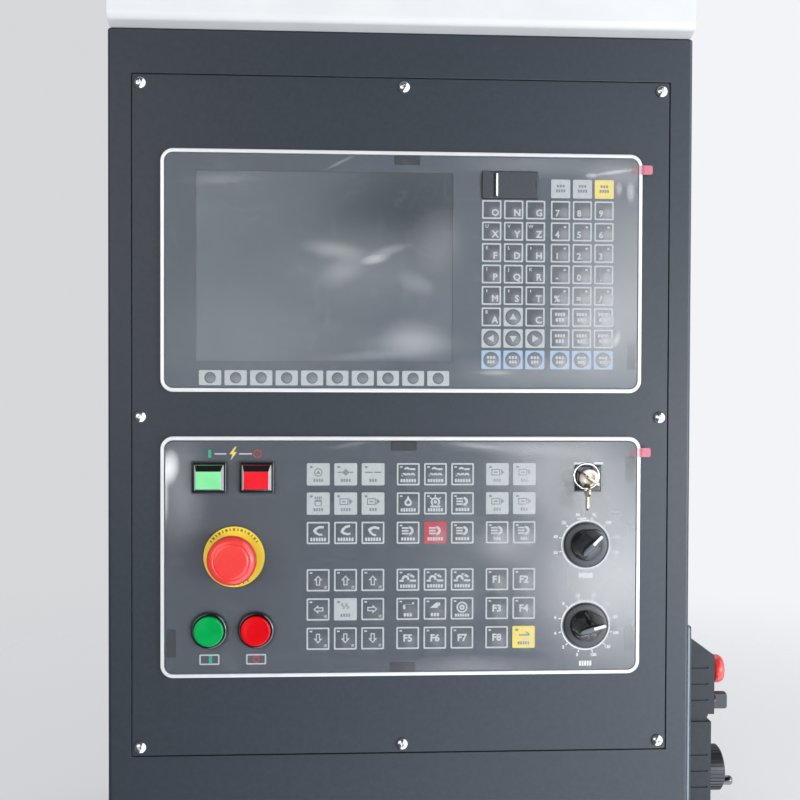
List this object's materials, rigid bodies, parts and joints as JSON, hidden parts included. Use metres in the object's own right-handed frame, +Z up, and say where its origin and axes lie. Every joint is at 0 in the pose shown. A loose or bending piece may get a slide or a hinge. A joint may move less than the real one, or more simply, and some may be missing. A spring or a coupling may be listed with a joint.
{
  "type": "cnc lathe operator control station",
  "caption": "Dark console with pale hood, screen and keypad unit above a machine operator unit, and a handwheel pendant on its right side.",
  "frame": {"origin": "centre of the console's base, on the surface that it stands on", "axes": "+Z up, the front plate with the two units faces -Y, the pendant is on the +X side"},
  "size_m": [0.5456, 0.2119, 0.7503],
  "materials": {
    "charcoal": "fine textured powder coat",
    "pale_enamel": "satin enamel",
    "black_sheet": "satin",
    "screw_steel": "plated",
    "bright_aluminium": "bright bevelled edge",
    "bright_chrome": "nickel plated",
    "unit_case": "grey case",
    "graphite_overlay": "printed membrane",
    "screen_glass": "dark screen",
    "hazy_film": "hazy clear film",
    "tab_red": "satin tape",
    "black_plastic": "semi gloss",
    "warning_yellow": "satin",
    "stop_red": "satin",
    "cap_green": "satin",
    "cap_red": "satin",
    "lens_green": "lit lens",
    "lens_red": "lit lens",
    "dial_grey": "satin"
  },
  "bodies": {
    "console": {"cabinet_shell": "charcoal", "rear_cover": "charcoal", "top_hood": "pale_enamel", "panel_plate": "charcoal", "panel_screw_1": "screw_steel", "panel_screw_2": "screw_steel", "panel_screw_3": "screw_steel", "panel_screw_4": "screw_steel", "panel_screw_5": "screw_steel", "panel_screw_6": "screw_steel", "panel_screw_7": "screw_steel", "panel_screw_8": "screw_steel", "display_frame": "bright_aluminium", "display_overlay": "graphite_overlay", "lcd_panel": "screen_glass", "display_case": "unit_case", "display_film": "hazy_film", "display_pull_tab": "tab_red", "port_housing": "black_plastic", "operator_frame": "bright_aluminium", "operator_overlay": "graphite_overlay", "operator_case": "unit_case", "operator_film": "hazy_film", "operator_pull_tab": "tab_red", "power_on_surround": "black_plastic", "power_off_surround": "black_plastic", "cycle_start_bezel": "black_plastic", "feed_hold_bezel": "black_plastic", "estop_disc": "warning_yellow", "estop_body": "black_plastic", "lock_body": "black_plastic", "spindle_switch": "unit_case", "feed_switch": "unit_case", "pendant_hanger": "black_sheet", "pendant_body": "black_plastic", "pendant_stop_collar": "warning_yellow", "pendant_dial": "dial_grey", "pendant_gland": "black_plastic"},
    "port_lid": {"port_lid": "black_plastic"},
    "power_on_button": {"power_on_button": "lens_green"},
    "power_off_button": {"power_off_button": "lens_red"},
    "cycle_start_button": {"cycle_start_button": "cap_green"},
    "feed_hold_button": {"feed_hold_button": "cap_red"},
    "estop_plunger": {"estop_plunger": "screw_steel"},
    "estop_head": {"estop_head": "stop_red"},
    "key_set": {"lock_rotor": "bright_chrome", "lock_key": "bright_chrome", "key_ring": "bright_chrome", "spare_key": "bright_chrome"},
    "spindle_knob": {"spindle_knob": "black_plastic"},
    "feed_knob": {"feed_knob": "black_plastic"},
    "pendant_stop_stem": {"pendant_stop_stem": "screw_steel"},
    "pendant_stop_head": {"pendant_stop_head": "stop_red"},
    "axis_selector": {"axis_selector": "black_plastic"},
    "step_selector": {"step_selector": "black_plastic"},
    "handwheel": {"handwheel": "black_plastic"},
    "crank_knob": {"crank_knob": "black_plastic"}
  },
  "joints": [
    {"name": "port_lid_open", "type": "hinge", "parent": "console", "child": "port_lid", "pos_m": [0.07665, -0.0955, 0.56527], "axis": [0, 0, -1], "range_deg": [0, 110]},
    {"name": "power_on_press", "type": "slide", "parent": "console", "child": "power_on_button", "axis": [0, 1, 0], "range_m": [0, 0.0025], "stiffness_N_per_m": 800},
    {"name": "power_off_press", "type": "slide", "parent": "console", "child": "power_off_button", "axis": [0, 1, 0], "range_m": [0, 0.0025], "stiffness_N_per_m": 800},
    {"name": "cycle_start_press", "type": "slide", "parent": "console", "child": "cycle_start_button", "axis": [0, 1, 0], "range_m": [0, 0.003], "stiffness_N_per_m": 800},
    {"name": "feed_hold_press", "type": "slide", "parent": "console", "child": "feed_hold_button", "axis": [0, 1, 0], "range_m": [0, 0.003], "stiffness_N_per_m": 800},
    {"name": "estop_push", "type": "slide", "parent": "console", "child": "estop_plunger", "axis": [0, 1, 0], "range_m": [0, 0.005]},
    {"name": "estop_twist", "type": "hinge", "parent": "estop_plunger", "child": "estop_head", "pos_m": [-0.139, -0.09, 0.2578], "axis": [0, 1, 0], "range_deg": [0, 30], "stiffness_Nm_per_rad": 0.02},
    {"name": "key_turn", "type": "hinge", "parent": "console", "child": "key_set", "pos_m": [0.1543, -0.09, 0.3222], "axis": [0, 1, 0], "range_deg": [0, 90]},
    {"name": "spindle_override_turn", "type": "hinge", "parent": "console", "child": "spindle_knob", "pos_m": [0.1532, -0.09, 0.2665], "axis": [0, 1, 0], "range_deg": [-150, 60]},
    {"name": "feed_override_turn", "type": "hinge", "parent": "console", "child": "feed_knob", "pos_m": [0.1532, -0.09, 0.1989], "axis": [0, 1, 0], "range_deg": [-240, 90]},
    {"name": "pendant_stop_push", "type": "slide", "parent": "console", "child": "pendant_stop_stem", "axis": [-1, 0, 0], "range_m": [0, 0.004]},
    {"name": "pendant_stop_twist", "type": "hinge", "parent": "pendant_stop_stem", "child": "pendant_stop_head", "pos_m": [0.2425, -0.03, 0.144], "axis": [-1, 0, 0], "range_deg": [0, 30], "stiffness_Nm_per_rad": 0.01},
    {"name": "axis_select", "type": "hinge", "parent": "console", "child": "axis_selector", "pos_m": [0.2425, -0.052, 0.122], "axis": [-1, 0, 0], "range_deg": [-45, 45]},
    {"name": "step_select", "type": "hinge", "parent": "console", "child": "step_selector", "pos_m": [0.2425, -0.008, 0.122], "axis": [-1, 0, 0], "range_deg": [-45, 45]},
    {"name": "handwheel_turn", "type": "hinge", "parent": "console", "child": "handwheel", "pos_m": [0.2425, -0.03, 0.0545], "axis": [-1, 0, 0], "continuous": true},
    {"name": "crank_spin", "type": "hinge", "parent": "handwheel", "child": "crank_knob", "pos_m": [0.2425, -0.03, 0.042], "axis": [-1, 0, 0], "continuous": true}
  ]
}
